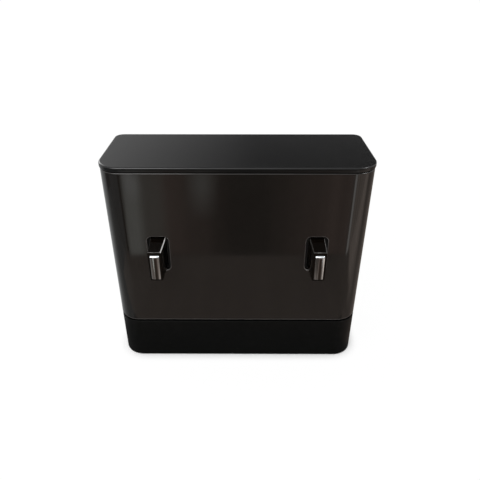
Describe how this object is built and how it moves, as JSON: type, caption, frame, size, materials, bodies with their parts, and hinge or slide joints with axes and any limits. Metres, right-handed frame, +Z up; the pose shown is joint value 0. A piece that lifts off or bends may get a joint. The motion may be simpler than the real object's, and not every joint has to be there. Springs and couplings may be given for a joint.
{
  "type": "robot vacuum charging dock",
  "caption": "Compact upright charging dock for a robot vacuum: smoked gloss sleeve, matte cap and plinth, sprung contact fingers with metal strips.",
  "frame": {"origin": "on the floor, at the middle of the overall footprint, contact fingers included", "axes": "+X right seen from the front, front faces -Y, +Z up"},
  "size_m": [0.145, 0.0662, 0.127],
  "materials": {
    "matte_black": "fine matte moulding texture",
    "smoked_gloss": "polished smoked plastic",
    "frame_grey": "plain moulding",
    "foot_rubber": "soft matte",
    "finger_black": "satin moulding",
    "nickel": "bright nickel plate with drawn streaks",
    "spring_steel": "bright strip",
    "guide_natural": "natural nylon",
    "brass": "plain",
    "lead_sheath": "soft sheath",
    "board_green": "solder mask",
    "emitter_lens": "dark clear lens",
    "chip_black": "moulded package",
    "capacitor_can": "drawn can",
    "ballast_steel": "zinc plated",
    "screw_steel": "zinc plated"
  },
  "bodies": {
    "housing": {"ballast_plate": "ballast_steel", "base_plate": "matte_black", "base_plinth": "matte_black", "base_screws": "screw_steel", "board_screws": "screw_steel", "contact_guide_left": "guide_natural", "contact_guide_right": "guide_natural", "contact_lead_left": "lead_sheath", "contact_lead_right": "lead_sheath", "contact_spring_left": "spring_steel", "contact_spring_right": "spring_steel", "contact_terminal_left": "brass", "contact_terminal_right": "brass", "control_chip": "chip_black", "dc_jack": "chip_black", "filter_capacitor": "capacitor_can", "foot_front_left": "foot_rubber", "foot_front_right": "foot_rubber", "foot_rear_left": "foot_rubber", "foot_rear_right": "foot_rubber", "front_sleeve": "smoked_gloss", "inner_frame": "frame_grey", "ir_baffle": "matte_black", "ir_emitter_centre": "emitter_lens", "ir_emitter_left": "emitter_lens", "ir_emitter_right": "emitter_lens", "jack_pin": "nickel", "lead_header": "guide_natural", "rear_cover": "matte_black", "signal_board": "board_green", "supply_lead": "lead_sheath", "top_cap": "matte_black"},
    "finger_left": {"contact_finger_left": "finger_black", "contact_strip_left": "nickel"},
    "finger_right": {"contact_finger_right": "finger_black", "contact_strip_right": "nickel"}
  },
  "joints": [
    {"name": "left_contact_slide", "type": "slide", "parent": "housing", "child": "finger_left", "axis": [0, 1, 0], "range_m": [0, 0.007], "stiffness_N_per_m": 400, "springref_m": -0.004, "deforming": ["contact_spring_left"]},
    {"name": "right_contact_slide", "type": "slide", "parent": "housing", "child": "finger_right", "axis": [0, 1, 0], "range_m": [0, 0.007], "stiffness_N_per_m": 400, "springref_m": -0.004, "deforming": ["contact_spring_right"]}
  ]
}
